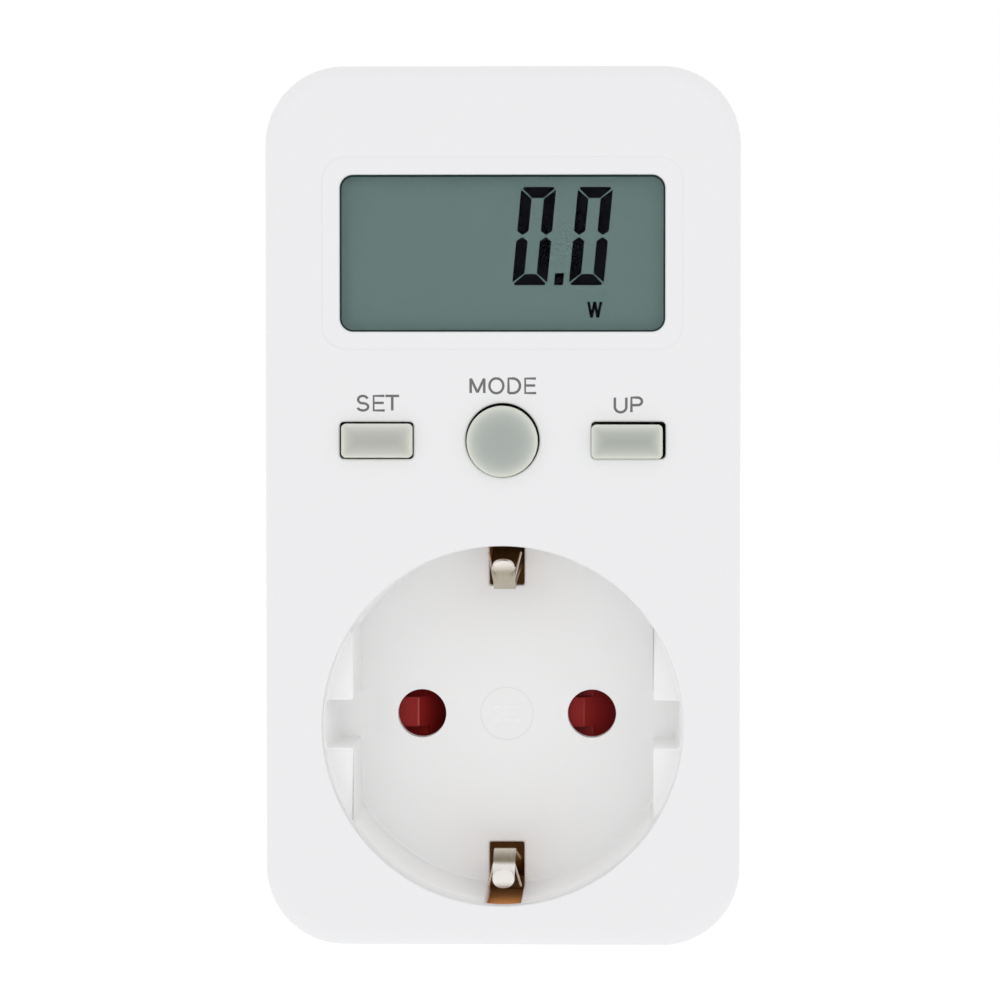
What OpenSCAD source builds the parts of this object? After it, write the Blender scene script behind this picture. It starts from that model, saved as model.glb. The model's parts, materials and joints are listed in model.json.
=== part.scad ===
// Plug-in power meter: a plug on the wall side, an earthed socket recess, a display and three keys on the front.
// X runs to the right, Z up and Y into the wall. The origin is the centre of the plug's end face.

/* [Housing] */
// Width of the housing
body_w = 51.4; // [51:0.2:53]
// Height of the housing
body_h = 95.2; // [95:0.2:98]
// Depth of the housing, from its front face to the wall
body_d = 40; // [40:0.5:42]
// Radius of the four long corners
corner_r = 8.5; // [7:0.5:9]
// Rounding of the front and rear edges
edge_r = 2; // [1:0.5:2]
// Wall thickness
wall = 2; // [1.8:0.1:2.2]
// Depth of the front half
front_d = 24; // [23:0.5:25]
// Height of the socket's axis above the bottom edge
socket_up = 23.9; // [23.8:0.1:24.5]

/* [Socket] */
// Diameter of the recess at the front
recess_d = 39; // [38.5:0.1:39.5]
// Depth of the recess
recess_depth = 17.5; // [17:0.1:18]
// Distance between the two pins
pin_pitch = 19; // [18.8:0.1:19.2]
// Diameter of the two pin apertures
aperture_d = 5.4; // [5.2:0.1:5.6]
// Distance between the side flats
flat_w = 32.6; // [32:0.1:33]
// Height of the notch in each flat
notch_h = 5.2; // [4.8:0.1:5.6]
// Width of the earth slots
slot_w = 3.9; // [3.8:0.1:4.2]
// Travel of the shutter
shutter_travel = 5.8; // [5.6:0.1:6]

/* [Plug] */
// Diameter of the plug's body
plug_d = 36.6; // [36:0.1:37]
// Length of the plug's body
plug_len = 17; // [16.5:0.1:17.5]
// Diameter of the plug's pins
pin_d = 4.8; // [4.7:0.05:4.85]
// Length of the plug's pins
pin_len = 19; // [18.5:0.1:19.5]

/* [Display and keys] */
// Width of the display window
window_w = 35; // [33:0.5:36]
// Height of the display window
window_h = 16.8; // [15:0.1:17]
// Height of the window's centre above the socket's axis
window_up = 51.1; // [51:0.1:51.5]
// Distance between neighbouring keys
key_pitch = 13.55; // [13:0.05:14]
// Height of the keys above the socket's axis
key_up = 30.9; // [30.5:0.1:31]
// Diameter of the round key's hole
round_key = 8; // [7:0.1:8]
// Width of a square key's hole
flat_key_w = 8; // [7:0.1:8]
// Height of a square key's hole
flat_key_h = 4; // [3:0.1:4]
// How far the keys stand out
key_proud = 1; // [0.5:0.1:1.5]
// Gap round each key
key_gap = 0.17; // [0.15:0.01:0.25]

/* [Hidden] */
$fn = 64;
eps = 0.02;

// Depths along Y, from the front face to the wall
rear_y = -plug_len;
front_y = rear_y - body_d;
split_y = front_y + front_d;
inner_front_y = front_y + wall;
inner_rear_y = rear_y - 2.2;
floor_y = front_y + recess_depth;
floor_back_y = floor_y + 2;
shelf_y = front_y + 3;
carrier_front_y = floor_back_y + 4.7;
carrier_back_y = inner_rear_y - 1.7;
display_board_y = inner_front_y + 6.4;
main_board_y = inner_rear_y - 5.6;
board_t = 1.6;

// Heights along Z, measured from the socket's axis
mid_z = body_h / 2 - socket_up;
top_z = body_h - socket_up;
inner_w = body_w - 2 * wall;
inner_h = body_h - 2 * wall;

// Socket and plug
pin_x = pin_pitch / 2;
recess_r = recess_d / 2;
recess_floor_r = recess_r - 0.45;
cup_r = 20.7;
slot_in = 14.4;
strap_z = 20.9;
strap_t = 0.6;
strap_w = 5;
plug_earth_z = 15.4;
plug_hollow_r = 13.8;
pin_flange_y = -3;
pin_neck_r = pin_d / 2 - 0.3;
shutter_x0 = -14.2;
shutter_half_h = 3.9;
shutter_rib_h = 3.3;
shutter_front_y = floor_back_y + 0.2;
shutter_back_y = carrier_front_y - 0.3;
spring_x0 = -4.7;
spring_x1 = 6;
spring_r = 1.4;
spring_wire_r = 0.2;
spring_y = (shutter_front_y + shutter_back_y) / 2;

// Fastener places, each [x, z]
housing_posts = [for (x = [-20.5, 20.5], z = [top_z - 5.5, top_z - body_h + 4.7]) [x, z]];
display_posts = [for (p = [[17, 38.3], [12, 66.2]], s = [-1, 1]) [s * p[0], p[1]]];
insert_posts = [for (x = [-19.4, 19.4], z = [-12.6, 12.6]) [x, z]];
carrier_posts = [[0, -10], [0, 10]];
main_posts = [[-15.5, 26], [15.5, 26], [0, 64.5]];
housing_head_y = rear_y - 8;
ear_y = inner_front_y + 5;
ear_t = 2;

// The keys: name, hole width, hole height, place, play and whether it is round
key_sizes = [[flat_key_w, flat_key_h], [round_key, round_key], [flat_key_w, flat_key_h]];
key_places = [[-key_pitch, key_up], [0, key_up], [key_pitch, key_up]];
key_play = [[0.03, 0], [0, -0.07], [-0.1, -0.09]];
key_travel = 1;
pad_y = display_board_y - 1;
pill_t = 0.4;
key_base_y = display_board_y - key_travel - pill_t - eps;
web_t = 0.3;
web_reach = 0.9;

// Leads, each [x, y, z], on the line side; the neutral side mirrors them
lead_in_path = [
    [-9.5, -13, 0], [-9.5, -14, 0], [-9.5, -15, 0], [-8, -17, 4], [-6, -18.4, 8],
    [-5.5, -20, 11], [-5.5, -22, 15], [-5.5, -23.6, 18.5], [-5.5, -24, 20], [-5.5, -24, 21.2], [-5.5, -24, 22.3]
];
lead_out_path = [
    [-9.5, -20.5, 11], [-9.5, -20.5, 12], [-9.5, -20.5, 13], [-9.5, -21.5, 16],
    [-9.5, -23.6, 19], [-9.5, -24, 20.2], [-9.5, -24, 21.2], [-9.5, -24, 22.3]
];
lead_r = 1.1;

// ---- Drawing helpers ----

// A drawing in X and Z, thick from depth y0 to depth y1
module slab(y0, y1) {
    translate([0, y1, 0]) rotate([90, 0, 0]) linear_extrude(y1 - y0) children();
}

// A round bar along Y, from depth y0 to depth y1
module rod(y0, y1, r, r_end) {
    translate([0, y0, 0]) rotate([-90, 0, 0]) cylinder(h = y1 - y0, r1 = r, r2 = is_undef(r_end) ? r : r_end);
}

// Moves its children to each place [x, z]
module at(places) {
    for (p = places) translate([p[0], 0, p[1]]) children();
}

// A flat rectangle with round corners
module rounded(w, h, r) {
    square([w - 2 * r, h], center = true);
    square([w, h - 2 * r], center = true);
    for (x = [-1, 1], z = [-1, 1]) translate([x * (w / 2 - r), z * (h / 2 - r)]) circle(r);
}

// Cross-section of one side of a shell: reach across, depth along, with its outer front edge rounded
module side_profile(reach, depth, e) {
    difference() {
        square([reach, depth]);
        difference() {
            translate([reach - e, -eps]) square([e + eps, e + eps]);
            translate([reach - e, e]) circle(e);
        }
    }
}

// A block w by h by depth along Y from 0, with upright corners of radius r and its front edge rounded by e
module pillow(w, h, r, depth, e) {
    half_w = w / 2 - r;
    half_h = h / 2 - r;
    translate([-half_w, 0, -half_h]) cube([2 * half_w, depth, 2 * half_h]);
    for (m = [0, 1]) mirror([m, 0, 0]) {
        translate([half_w, 0, -half_h]) linear_extrude(2 * half_h) side_profile(r, depth, e);
        for (n = [0, 1]) mirror([0, 0, n]) translate([half_w, 0, -half_h])
            rotate([-90, 0, 0]) rotate_extrude(angle = 90) side_profile(r, depth, e);
    }
    for (n = [0, 1]) mirror([0, 0, n]) translate([half_w, 0, half_h])
        rotate([0, -90, 0]) linear_extrude(2 * half_w) side_profile(r, depth, e);
}

// Points of a smooth corner at b between a and c
function bend(a, b, c, n = 6) = [for (i = [0:n]) let (t = i / n) (1 - t) * (1 - t) * a + 2 * t * (1 - t) * b + t * t * c];

// A strip of thickness t along a flat path
function normal_at(p, i) =
    let (a = p[max(i - 1, 0)], b = p[min(i + 1, len(p) - 1)], d = (b - a) / norm(b - a)) [-d[1], d[0]];
function strip(p, t) = concat(
    [for (i = [0:len(p) - 1]) p[i] + normal_at(p, i) * t / 2],
    [for (i = [len(p) - 1:-1:0]) p[i] - normal_at(p, i) * t / 2]
);

// A smooth line through points: Catmull-Rom, n pieces to a stretch
function smooth(p, n) = concat(
    [for (i = [0:len(p) - 2], k = [0:n - 1])
        let (a = p[max(i - 1, 0)], b = p[i], c = p[i + 1], d = p[min(i + 2, len(p) - 1)], t = k / n)
        0.5 * (2 * b + (c - a) * t + (2 * a - 5 * b + 4 * c - d) * t * t + (3 * b - a - 3 * c + d) * t * t * t)],
    [p[len(p) - 1]]
);
function unit(v) = v / norm(v);

// Rings of a tube: each ring keeps the last one's direction as far as it can, so the tube doesn't twist
function ring_sides(p, i, side) =
    i == len(p) ? [] :
    let (
        d = unit(p[min(i + 1, len(p) - 1)] - p[max(i - 1, 0)]),
        s = unit(side - (side * d) * d)
    )
    concat([[d, s]], ring_sides(p, i + 1, s));

// A tube of radius r along a path of points, with flat ends
module tube(p, r, side = [1, 0, 0], sides = 8) {
    frames = ring_sides(p, 0, side);
    n = len(p);
    ring_points = [
        for (i = [0:n - 1], k = [0:sides - 1])
            p[i] + r * (frames[i][1] * cos(360 * k / sides) + cross(frames[i][0], frames[i][1]) * sin(360 * k / sides))
    ];
    faces = concat(
        [[for (k = [0:sides - 1]) k]],
        [for (i = [0:n - 2], k = [0:sides - 1])
            [i * sides + k, (i + 1) * sides + k, (i + 1) * sides + (k + 1) % sides, i * sides + (k + 1) % sides]],
        [[for (k = [sides - 1:-1:0]) (n - 1) * sides + k]]
    );
    polyhedron(points = ring_points, faces = faces);
}

// A pan-head screw driven from the wall side, its head's seat at depth seat and its tip at depth tip
module screw(seat, tip, r, head_r, head_h) {
    difference() {
        union() {
            rod(tip, seat, r);
            rod(seat, seat + head_h, head_r);
        }
        for (a = [0, 90]) rotate([0, a, 0])
            translate([-head_r * 0.6, seat + head_h * 0.4, -head_r * 0.14])
                cube([head_r * 1.2, head_h, head_r * 0.28]);
    }
}

// ---- Housing ----

module key_hole(i, grow = 0) {
    w = key_sizes[i][0] + 2 * grow;
    h = key_sizes[i][1] + 2 * grow;
    if (i == 1) circle(w / 2);
    else rounded(w, h, 0.45 + max(grow, -0.05));
}

module front_cover() {
    color("whitesmoke") difference() {
        union() {
            difference() {
                translate([0, front_y, mid_z]) pillow(body_w, body_h, corner_r, front_d, edge_r);
                translate([0, 0, mid_z]) slab(inner_front_y, split_y + 1) rounded(inner_w, inner_h, corner_r - wall);
            }
            intersection() {
                at(housing_posts) rod(inner_front_y - eps, split_y - 1, 3);
                translate([0, 0, mid_z]) slab(inner_front_y - 1, split_y) rounded(inner_w + 1, inner_h + 1, corner_r - wall);
            }
            at(display_posts) rod(inner_front_y - eps, display_board_y, 2);
            at(insert_posts) rod(inner_front_y - eps, ear_y, 2);
        }
        // Rebate for the rear cover's lip
        translate([0, 0, mid_z]) slab(split_y - 2, split_y + 1)
            rounded(inner_w + wall, inner_h + wall, corner_r - wall / 2);
        rod(front_y - 1, inner_front_y + 1, recess_r);
        translate([0, 0, window_up]) slab(front_y - 1, inner_front_y + 1) rounded(window_w + 0.1, window_h + 0.1, 1.1);
        translate([0, 0, window_up]) slab(inner_front_y - 0.8, inner_front_y + 1)
            rounded(window_w + 2.6, window_h + 2.6, 1.5);
        for (i = [0:2]) at([key_places[i]]) slab(front_y - 1, inner_front_y + 1) key_hole(i);
        at(housing_posts) rod(housing_head_y - 16, split_y, 1.47);
        at(display_posts) rod(inner_front_y + 0.6, display_board_y + 1, 0.92);
        at(insert_posts) rod(inner_front_y + 0.4, ear_y + 1, 0.92);
    }
}

// Outline of the plug's body: round, with side flats, guide ribs and earth grooves
module plug_outline() {
    difference() {
        intersection() {
            circle(plug_d / 2);
            union() {
                square([flat_w - 1, plug_d], center = true);
                square([plug_d, notch_h - 0.5], center = true);
            }
        }
        for (s = [-1, 1]) translate([0, s * (plug_earth_z + 5)]) square([strap_w + 0.4, 10], center = true);
    }
}

module rear_cover() {
    color("whitesmoke") difference() {
        union() {
            difference() {
                translate([0, rear_y, mid_z]) mirror([0, 1, 0])
                    pillow(body_w, body_h, corner_r, body_d - front_d, edge_r);
                translate([0, 0, mid_z]) slab(split_y - 1, inner_rear_y) rounded(inner_w, inner_h, corner_r - wall);
            }
            // Lip that sits inside the front cover
            translate([0, 0, mid_z]) slab(split_y - 1.9, split_y + 1) difference() {
                rounded(inner_w + wall - 0.1, inner_h + wall - 0.1, corner_r - wall / 2);
                rounded(inner_w, inner_h, corner_r - wall);
            }
            intersection() {
                at(housing_posts) rod(split_y - 0.9, inner_rear_y + 1, 3.6);
                translate([0, 0, mid_z]) slab(split_y - 1, inner_rear_y + 1) rounded(inner_w + 0.6, inner_h + 0.6, corner_r - wall);
            }
            at(main_posts) rod(main_board_y + board_t, inner_rear_y + 1, 2.4);
            slab(rear_y - 1, 0) plug_outline();
        }
        rod(inner_rear_y - 1, pin_flange_y, plug_hollow_r);
        at([[-pin_x, 0], [pin_x, 0]]) rod(pin_flange_y - 1, 1, pin_d / 2 + eps);
        rod(pin_flange_y - 1, -1, 1.22);
        at(housing_posts) rod(split_y - 2, rear_y + 1, 1.6);
        at(housing_posts) rod(housing_head_y, rear_y + 1, 3);
        at(main_posts) rod(main_board_y, inner_rear_y + 1.6, 0.92);
        // Earth strips leave the plug's grooves through the rear wall
        for (s = [-1, 1]) translate([0, 0, s * (plug_earth_z + strap_t / 2)])
            slab(inner_rear_y - 1, rear_y + 1) square([strap_w + 0.04, strap_t + 0.04], center = true);
        translate([0, 0, 48]) slab(rear_y - 0.2, rear_y + 1) rounded(34, 24, 1.5);
    }
}

module rating_label() {
    color("silver") translate([0, 0, 48]) slab(rear_y - 0.2, rear_y - 0.05) rounded(33.6, 23.6, 1.3);
}

// ---- Socket ----

// The space that a plug's body takes, down to the floor
module recess_space() {
    intersection() {
        rod(front_y, floor_y, recess_r, recess_floor_r);
        union() {
            slab(front_y - 1, shelf_y) square(2 * recess_d, center = true);
            slab(front_y - 1, floor_y + 1) square([flat_w, recess_d], center = true);
            slab(front_y - 1, floor_y + 1) square([2 * recess_d, notch_h], center = true);
        }
    }
}

module socket_insert() {
    track_x1 = pin_x + 4.1;
    color("gainsboro") difference() {
        union() {
            rod(inner_front_y, floor_back_y, cup_r);
            // Ears that the insert is screwed by
            for (s = [-1, 1]) translate([0, 0, s * 12.6]) slab(ear_y, ear_y + ear_t) rounded(43.4, 4.6, 2.2);
            at(carrier_posts) rod(floor_back_y - eps, carrier_front_y, 2.5);
            // Track of the shutter: two rails and a stop
            for (s = [-1, 1]) translate([0, 0, s * (shutter_half_h + 0.75)])
                slab(floor_back_y - eps, carrier_front_y) translate([(track_x1 - 19.6) / 2, 0])
                    square([track_x1 + 19.6, 1.2], center = true);
            slab(floor_back_y - eps, carrier_front_y) translate([track_x1 - 0.6, 0])
                square([1.2, 2 * shutter_half_h + 2], center = true);
        }
        recess_space();
        at([[-pin_x, 0], [pin_x, 0]]) rod(floor_y - 1, floor_back_y + 1, aperture_d / 2);
        for (s = [-1, 1]) translate([0, 0, s * (slot_in + 4)])
            slab(front_y, floor_back_y + 1) square([slot_w, 8], center = true);
        rod(floor_y - 1, floor_y + 0.1, 3);
        at(insert_posts) rod(ear_y - 1, ear_y + ear_t + 1, 1.2);
        at(carrier_posts) rod(floor_back_y + 0.4, carrier_front_y + 1, 0.92);
    }
}

// Plan of one shutter ramp: level as far as ridge, then sloping away to foot, and lower by drop
module ramp(x0, ridge, foot, drop = 0) {
    slope = (foot - ridge) / (shutter_back_y - 0.5 - shutter_front_y);
    level = shutter_front_y + drop;
    polygon([
        [x0, level], [ridge + slope * drop, level], [foot, shutter_back_y - 0.5],
        [foot, shutter_back_y], [x0, shutter_back_y]
    ]);
}

// A ramp with a raised rib along its middle, which a pin meets first
module ribbed_ramp(x0, ridge, foot) {
    linear_extrude(2 * shutter_half_h, center = true) ramp(x0, ridge, foot, 1.2);
    linear_extrude(shutter_rib_h, center = true) ramp(x0, ridge, foot);
}

module shutter() {
    left_foot = -pin_x + 2.9;
    window_end = left_foot + shutter_travel;
    color("firebrick") difference() {
        union() {
            ribbed_ramp(shutter_x0, -pin_x - 0.5, left_foot);
            ribbed_ramp(window_end, pin_x - 0.9, pin_x + 2.8);
            for (s = [-1, 1]) translate([left_foot - 1, shutter_back_y - 3, s * (shutter_half_h - 0.5) - 0.5])
                cube([window_end - left_foot + 2, 3, 1]);
        }
        translate([window_end - 1, shutter_front_y - 1, -1.9]) cube([spring_x1 - window_end + 1, 8, 3.8]);
    }
}

module shutter_spring() {
    turns = 7;
    steps = 12;
    reach = spring_x1 - spring_x0 - 2 * spring_wire_r - 0.1;
    path = [
        for (i = [0:turns * steps]) let (a = 360 * i / steps)
            [spring_x0 + spring_wire_r + 0.05 + reach * i / (turns * steps),
             spring_y + spring_r * cos(a), spring_r * sin(a)]
    ];
    color("silver") tube(path, spring_wire_r, [0, 1, 0]);
}

module contact_carrier() {
    color("dimgray") difference() {
        union() {
            slab(carrier_front_y, carrier_back_y) rounded(28, 13, 2);
            slab(carrier_front_y, carrier_front_y + 2) rounded(6, 26, 2.9);
            // Post that the shutter's spring pushes on
            translate([spring_x0 - 1.2, shutter_front_y + 0.2, -1.5]) cube([1.2, carrier_front_y - shutter_front_y, 3]);
        }
        at([[-pin_x, 0], [pin_x, 0]]) rod(carrier_front_y - 1, carrier_back_y + 1, 3.2);
        slab(carrier_back_y - strap_t, carrier_back_y + 1) square([strap_w + 0.4, 30], center = true);
        at(carrier_posts) rod(carrier_front_y - 1, carrier_front_y + 3, 1.2);
    }
}

// A sprung sleeve that grips a pin, with a solder tab
module pin_contact() {
    sleeve_r = 3;
    color("goldenrod") difference() {
        union() {
            rod(carrier_front_y + 0.6, carrier_back_y, sleeve_r);
            slab(carrier_back_y, carrier_back_y + 0.8) union() {
                circle(4);
                translate([0, 5.5]) square([3.4, 11], center = true);
            }
        }
        rod(carrier_front_y, carrier_back_y + 2, pin_d / 2 + 0.05);
        for (a = [45, 135]) rotate([0, a, 0])
            translate([-5, carrier_front_y, -0.3]) cube([10, 8, 0.6]);
    }
}

module line_contact() { at([[-pin_x, 0]]) pin_contact(); }
module neutral_contact() { at([[pin_x, 0]]) pin_contact(); }

// Copper strip that joins both earth clips and the plug's earth strips
module earth_bracket() {
    leg_y = front_y + 5;
    color("peru") {
        for (s = [0, 1]) mirror([0, 0, s]) translate([-strap_w / 2, leg_y, strap_z])
            cube([strap_w, carrier_back_y - leg_y, strap_t]);
        translate([-strap_w / 2, carrier_back_y - strap_t, -strap_z - strap_t])
            cube([strap_w, strap_t, 2 * (strap_z + strap_t)]);
    }
}

// Side view of a clip in depth and height: foot, leg, nose and tip
clip_t = 0.45;
clip_foot_y = front_y + 27.2;
clip_tip = [front_y + 3.6, 17.85];
clip_turn = [front_y + 5.2, 16.4];
clip_nose = [front_y + 10, 14.2];
clip_heel = [clip_foot_y, 18.7];
clip_end = [clip_foot_y, strap_z - 0.12];
tongue_w = 2.4;
clip_line = concat(
    [0.38 * clip_tip + 0.62 * clip_turn],
    bend((clip_tip + 2 * clip_turn) / 3, clip_turn, (2 * clip_turn + clip_nose) / 3, 4),
    bend((clip_turn + 2 * clip_nose) / 3, clip_nose, (5 * clip_nose + clip_heel) / 6, 8),
    bend((clip_nose + 9 * clip_heel) / 10, clip_heel, (2 * clip_heel + clip_end) / 3, 5),
    [clip_end]
);

// The tip of a clip: a flat tongue with a round end
module clip_tongue() {
    run = clip_turn - clip_tip;
    translate([0, clip_tip[0], clip_tip[1]]) rotate([atan2(run[1], run[0]), 0, 0])
        linear_extrude(clip_t, center = true) {
            translate([0, tongue_w / 2]) circle(tongue_w / 2);
            translate([-tongue_w / 2, tongue_w / 2]) square([tongue_w, 2 * norm(run) / 3 - tongue_w / 2]);
        }
}

module earth_clip() {
    leg_w = 3.6;
    shoulder_y = clip_nose[0] + 3.5;
    color("lightgray") union() {
        clip_tongue();
        intersection() {
            rotate([90, 0, 90]) linear_extrude(10, center = true) polygon(strip(clip_line, clip_t));
            linear_extrude(30) {
                translate([-tongue_w / 2, clip_tip[0]]) square([tongue_w, shoulder_y - clip_tip[0]]);
                polygon([
                    [-tongue_w / 2, shoulder_y], [tongue_w / 2, shoulder_y], [leg_w / 2, shoulder_y + 7],
                    [leg_w / 2, clip_foot_y + 2], [-leg_w / 2, clip_foot_y + 2], [-leg_w / 2, shoulder_y + 7]
                ]);
            }
        }
    }
}

module earth_clip_top() { earth_clip(); }
module earth_clip_bottom() { mirror([0, 0, 1]) earth_clip(); }

// ---- Plug ----

module plug_pin() {
    tip = pin_d / 4;
    color("silver") {
        rod(-13, -5, 1.8);
        rod(-5, pin_flange_y, 3.6);
        rod(pin_flange_y, 0, pin_neck_r);
        rod(0, pin_len - tip, pin_d / 2);
        translate([0, pin_len - tip, 0]) rotate([-90, 0, 0]) rotate_extrude() {
            square([pin_d / 2 - tip, tip]);
            intersection() {
                translate([pin_d / 2 - tip, 0]) circle(tip);
                square([pin_d, tip]);
            }
        }
    }
}

module line_pin() { at([[-pin_x, 0]]) plug_pin(); }
module neutral_pin() { at([[pin_x, 0]]) plug_pin(); }

module pin_holder() {
    color("dimgray") difference() {
        union() {
            slab(-7, -5) rounded(25.4, 8, 3);
            rod(-5, pin_flange_y, 2.4);
        }
        at([[-pin_x, 0], [pin_x, 0]]) rod(-8, -4, 1.82);
        rod(-8, pin_flange_y + 1, 1.3);
    }
}

module plug_earth_top() {
    color("lightgray") {
        translate([-strap_w / 2, carrier_back_y, plug_earth_z]) cube([strap_w, -carrier_back_y - 1.2, strap_t]);
        translate([-strap_w / 2, -1.2, plug_earth_z]) rotate([90, 0, 90]) linear_extrude(strap_w)
            polygon([[0, 0], [0, strap_t], [1.1, strap_t - 0.45], [1.1, 0]]);
    }
}

module plug_earth_bottom() { mirror([0, 0, 1]) plug_earth_top(); }

// ---- Display ----

module lcd_window() {
    color("lightblue", 0.4) translate([0, 0, window_up]) {
        slab(front_y + 0.4, inner_front_y - 0.8) rounded(window_w, window_h, 1.05);
        slab(inner_front_y - 0.8, inner_front_y) rounded(window_w + 2.4, window_h + 2.4, 1.4);
    }
}

// The glass and its holder reach above the window, where the contacts are
glass_w = window_w + 5;
glass_h = window_h + 3;
glass_z = window_up + 0.8;

module lcd_glass() {
    color("darkseagreen") translate([0, 0, glass_z]) slab(inner_front_y + 0.1, inner_front_y + 2.1) rounded(glass_w, glass_h, 0.4);
}

module lcd_holder() {
    color("white") translate([0, 0, glass_z]) slab(inner_front_y + 0.1, display_board_y) difference() {
        rounded(glass_w + 2, glass_h + 1.8, 1);
        rounded(glass_w + 0.2, glass_h + 0.2, 0.4);
    }
}

module zebra_strip() {
    color("lightpink") translate([0, 0, glass_z + glass_h / 2 - 1.2])
        slab(inner_front_y + 2.1, display_board_y) square([36, 1.8], center = true);
}

module foam_strip() {
    color("darkslategray") translate([0, 0, glass_z - glass_h / 2 + 1.2])
        slab(inner_front_y + 2.1, display_board_y) square([36, 1.8], center = true);
}

module display_board() {
    board_z0 = 22;
    board_z1 = top_z - wall - 1.9;
    color("seagreen") difference() {
        translate([0, 0, (board_z0 + board_z1) / 2]) slab(display_board_y, display_board_y + board_t)
            rounded(46, board_z1 - board_z0, 1.5);
        at(housing_posts) rod(display_board_y - 1, display_board_y + 3, 3.6);
        at(display_posts) rod(display_board_y - 1, display_board_y + 3, 1.1);
    }
}

// Chip bonded straight to the board, under a low round drop of black resin
module controller_chip() {
    back = display_board_y + board_t;
    color("black") at([[2, 52]]) {
        rod(back, back + 0.8, 5.2, 4.6);
        rod(back + 0.8, back + 1.4, 4.6, 3);
    }
}

module quartz_crystal() {
    color("silver") translate([-12, display_board_y + board_t + 1, 50]) cylinder(h = 6, r = 1);
}

// Flat cable between the two boards, in a loose bow
module board_link() {
    y0 = display_board_y + board_t;
    ends = 27;
    stub = 1.5;
    path = concat(
        [[y0, ends]],
        bend([y0 + stub, ends], [(y0 + main_board_y) / 2, ends + 7], [main_board_y - stub, ends], 10),
        [[main_board_y, ends]]
    );
    color("lightgray") rotate([90, 0, 90]) linear_extrude(10, center = true) polygon(strip(path, 0.8));
}

// ---- Keys ----

module keypad_mat() {
    color("darkgray") difference() {
        translate([0, 0, key_up]) slab(pad_y, display_board_y) rounded(44, 10.6, 1.5);
        for (i = [0:2]) at([key_places[i] + key_play[i]]) slab(pad_y - 1, display_board_y + 1) key_hole(i, web_reach);
    }
}

module key(i) {
    color("darkgray") at([key_places[i] + key_play[i]])
        slab(front_y - key_proud, key_base_y) key_hole(i, -key_gap);
}

module pill(i) {
    color("black") at([key_places[i] + key_play[i]]) slab(key_base_y, key_base_y + pill_t) key_hole(i, -0.9);
}

// Thin sloping skirt between the mat and a key
module web(i) {
    top = key_base_y - 0.6;
    color("gray") at([key_places[i] + key_play[i]]) difference() {
        hull() {
            slab(pad_y - eps, pad_y) key_hole(i, web_reach, $fn = 32);
            slab(top, top + eps) key_hole(i, web_t, $fn = 32);
        }
        slab(top - 1, pad_y + 1) key_hole(i, -key_gap + 0.01);
        hull() {
            slab(pad_y, pad_y + eps) key_hole(i, web_reach - web_t, $fn = 32);
            slab(top + web_t, top + web_t + eps) key_hole(i, -key_gap, $fn = 32);
        }
    }
}

module set_key() { key(0); }
module mode_key() { key(1); }
module up_key() { key(2); }
module set_pill() { pill(0); }
module mode_pill() { pill(1); }
module up_pill() { pill(2); }
module set_web() { web(0); }
module mode_web() { web(1); }
module up_web() { web(2); }

// ---- Power board ----

module main_board() {
    board_z0 = 22.3;
    board_z1 = top_z - wall - 2.2;
    color("peru") difference() {
        translate([0, 0, (board_z0 + board_z1) / 2]) slab(main_board_y, main_board_y + board_t)
            rounded(44, board_z1 - board_z0, 1);
        at(housing_posts) rod(main_board_y - 1, main_board_y + 3, 4.2);
        at(main_posts) rod(main_board_y - 1, main_board_y + 3, 1.1);
    }
}

// A part that stands on the board's front face: w by h, rising up from the board
module on_board(x, z, w, h, rise) {
    translate([x, 0, z]) slab(main_board_y - rise, main_board_y) rounded(w, h, 0.8);
}

module x2_capacitor() { color("goldenrod") on_board(-9, 57, 17.5, 8, 12.5); }

module smoothing_capacitor() {
    color("midnightblue") at([[10, 57]]) rod(main_board_y - 12, main_board_y, 4);
}

module backup_battery() {
    color("limegreen") at([[11, 42.5]]) rod(main_board_y - 11, main_board_y, 7.7);
}

// Round disc standing on edge on two legs
module varistor() {
    color("royalblue") translate([-15, main_board_y - 6, 45]) {
        rotate([0, 90, 0]) cylinder(h = 4, r = 4.7);
        for (z = [-2.5, 2.5]) translate([2, 0, z]) rotate([-90, 0, 0]) cylinder(h = 6, r = 0.4);
    }
}

module fuse_resistor() {
    color("lightgreen") translate([-8.5, main_board_y - 2.2, 49.8]) {
        rotate([0, 90, 0]) cylinder(h = 9, r = 1.6);
        for (x = [1, 8]) translate([x, 0, 0]) rotate([-90, 0, 0]) cylinder(h = 2.2, r = 0.4);
    }
}

module meter_chip() {
    color("black") {
        translate([-5, 0, 36.5]) slab(main_board_y - 1.7, main_board_y - 0.15) square([10, 3.9], center = true);
        for (i = [0:7], s = [-1, 1]) translate([-5 + (i - 3.5) * 1.27, 0, 36.5 + s * 2.4])
            slab(main_board_y - 0.9, main_board_y) square([0.42, 1.2], center = true);
    }
}

// Bent resistance strip that carries the load current
module shunt() {
    path = concat(
        [[-19.5, main_board_y]],
        bend([-19.5, main_board_y - 3], [-19.5, main_board_y - 4], [-18.5, main_board_y - 4], 4),
        bend([-11, main_board_y - 4], [-10, main_board_y - 4], [-10, main_board_y - 3], 4),
        [[-10, main_board_y]]
    );
    color("tan") translate([0, 0, 31]) linear_extrude(3, center = true) polygon(strip(path, 0.8));
}

module rectifier_diodes() {
    color("black") for (z = [28.6, 32.6]) translate([7, main_board_y - 1.5, z]) {
        rotate([0, 90, 0]) cylinder(h = 5, r = 1.3);
        for (x = [0.6, 4.4]) translate([x, 0, 0]) rotate([-90, 0, 0]) cylinder(h = 1.5, r = 0.35);
    }
}

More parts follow.
